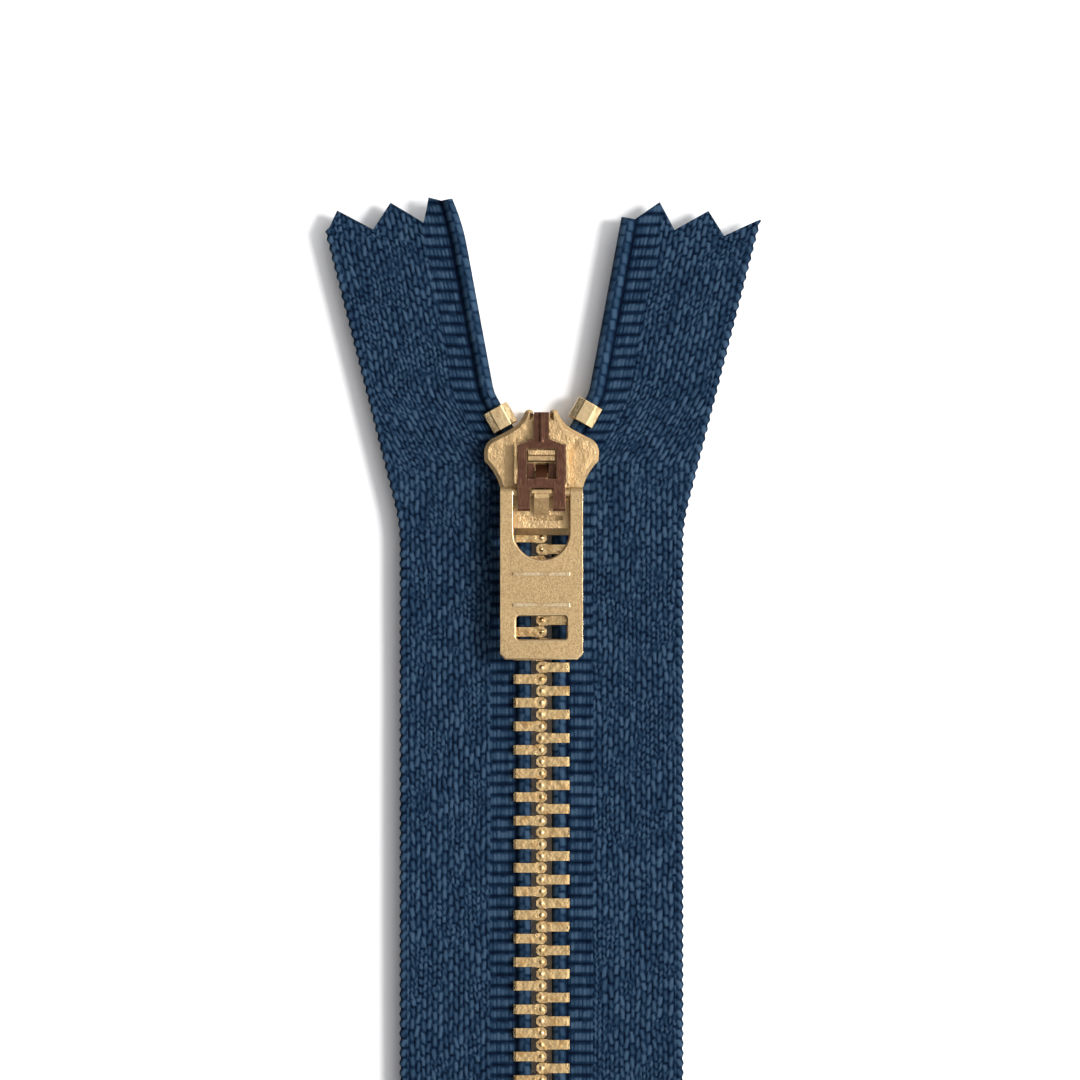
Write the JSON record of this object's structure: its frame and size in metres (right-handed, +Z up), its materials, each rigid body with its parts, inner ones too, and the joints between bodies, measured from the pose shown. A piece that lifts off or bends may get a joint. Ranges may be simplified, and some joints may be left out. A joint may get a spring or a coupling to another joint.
{
  "type": "closed-end metal zipper",
  "caption": "Closed-end brass jeans zipper with woven tapes, top and bottom stops, a sliding lock slider and a pull tab.",
  "frame": {"origin": "on the chain's centre line, under the middle of the slider, on the underside of the slider's lower plate", "axes": "+Y along the chain towards the open end, +X to the right seen from the face, +Z up out of the face"},
  "size_m": [0.046, 0.142, 0.007],
  "materials": {
    "woven_tape": "navy woven polyester",
    "core_cord": "navy twisted polyester cord",
    "brass_teeth": "polished crimped brass",
    "brass_stops": "polished crimped brass",
    "cast_brass": "satin die-cast brass",
    "satin_brass": "sand-textured brass with bright edges",
    "bronzed_spring": "antique copper finish on spring brass"
  },
  "bodies": {
    "base": {"left_tape_tail": "woven_tape", "right_tape_tail": "woven_tape", "left_cord_tail": "core_cord", "right_cord_tail": "core_cord", "bottom_stop": "brass_stops", "left_low_teeth": "brass_teeth", "right_low_teeth": "brass_teeth"},
    "left_half": {"left_tape": "woven_tape", "left_cord": "core_cord", "left_top_stop": "brass_stops", "left_mouth_teeth": "brass_teeth", "left_teeth_1": "brass_teeth", "left_teeth_2": "brass_teeth", "left_teeth_3": "brass_teeth", "left_teeth_4": "brass_teeth", "left_teeth_5": "brass_teeth", "left_teeth_6": "brass_teeth"},
    "right_half": {"right_tape": "woven_tape", "right_cord": "core_cord", "right_top_stop": "brass_stops", "right_mouth_teeth": "brass_teeth", "right_teeth_1": "brass_teeth", "right_teeth_2": "brass_teeth", "right_teeth_3": "brass_teeth", "right_teeth_4": "brass_teeth", "right_teeth_5": "brass_teeth", "right_teeth_6": "brass_teeth"},
    "slider": {"slider_body": "cast_brass"},
    "spring": {"lock_spring": "bronzed_spring"},
    "tab": {"pull_tab": "satin_brass"}
  },
  "joints": [
    {"name": "slider_travel", "type": "slide", "parent": "base", "child": "slider", "axis": [0, -1, 0], "range_m": [0, 0.0895]},
    {"name": "tab_swing", "type": "hinge", "parent": "slider", "child": "tab", "pos_m": [0, -0.00225, 0.00572], "axis": [-1, 0, 0], "range_deg": [0, 140]},
    {"name": "spring_lift", "type": "hinge", "parent": "slider", "child": "spring", "pos_m": [0, 0.00605, 0.0046], "axis": [-1, 0, 0], "range_deg": [0, 6.1]},
    {"name": "left_half_swing", "type": "hinge", "parent": "base", "child": "left_half", "pos_m": [0, -0.08887, 0.00245], "axis": [0, 0, 1], "range_deg": [0, 14.1], "deforming": ["left_tape", "left_cord", "left_mouth_teeth", "left_teeth_1", "left_teeth_2", "left_teeth_3", "left_teeth_4", "left_teeth_5", "left_teeth_6"]},
    {"name": "right_half_swing", "type": "hinge", "parent": "base", "child": "right_half", "pos_m": [0, -0.08887, 0.00245], "axis": [0, 0, -1], "range_deg": [0, 14.1], "deforming": ["right_tape", "right_cord", "right_mouth_teeth", "right_teeth_1", "right_teeth_2", "right_teeth_3", "right_teeth_4", "right_teeth_5", "right_teeth_6"]}
  ],
  "couplings": [
    {"joint": "left_half_swing", "follows": "slider_travel", "rad_per_m": 2.7301},
    {"joint": "right_half_swing", "follows": "slider_travel", "rad_per_m": 2.7301},
    {"joint": "spring_lift", "follows": "tab_swing", "ratio": 0.043}
  ]
}
